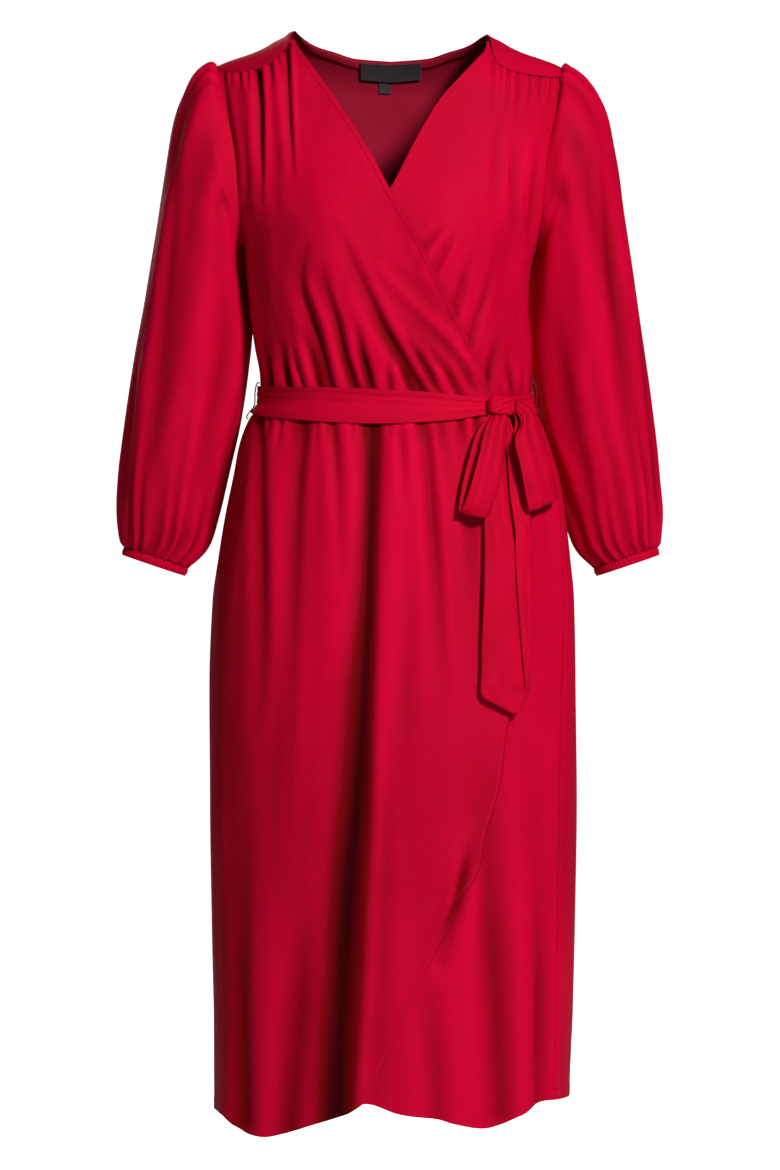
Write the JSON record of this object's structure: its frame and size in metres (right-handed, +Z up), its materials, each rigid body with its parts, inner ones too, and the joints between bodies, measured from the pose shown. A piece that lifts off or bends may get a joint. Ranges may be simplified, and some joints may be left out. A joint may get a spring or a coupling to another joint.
{
  "type": "wrap dress",
  "caption": "Hollow midi wrap dress with surplice front, shoulder yoke, balloon sleeves in elastic cuffs, gathered skirt with a curved free edge and a self tie belt.",
  "frame": {"origin": "between the shoulders, at the height of the shoulder ridge that carries the dress, midway between its sides", "axes": "+X towards the wearer's left, -Y towards the front, +Z up along the body"},
  "size_m": [0.6046, 0.2686, 1.2013],
  "materials": {
    "crepe": "matt red crepe with a faint sheen",
    "tie_crepe": "matt red crepe, doubled and pressed",
    "neck_tape": "matt red bias binding",
    "label_cloth": "smooth black woven tape, bare"
  },
  "bodies": {
    "root": {"back_bodice": "crepe", "front_over": "crepe", "front_under": "crepe", "skirt_back": "crepe", "skirt_back_lower": "crepe", "skirt_over": "crepe", "skirt_under": "crepe", "sleeve_right": "crepe", "sleeve_right_lower": "crepe", "sleeve_left": "crepe", "sleeve_left_lower": "crepe", "cuff_right": "crepe", "cuff_left": "crepe", "belt_band": "tie_crepe", "belt_knot": "tie_crepe", "bow_loop_right": "tie_crepe", "bow_loop_left": "tie_crepe", "tie_tail_front": "tie_crepe", "tie_tail_rear": "tie_crepe", "carrier_right": "tie_crepe", "carrier_left": "tie_crepe", "back_neck_binding": "neck_tape", "neck_label": "label_cloth", "size_tab": "label_cloth"}
  },
  "joints": []
}
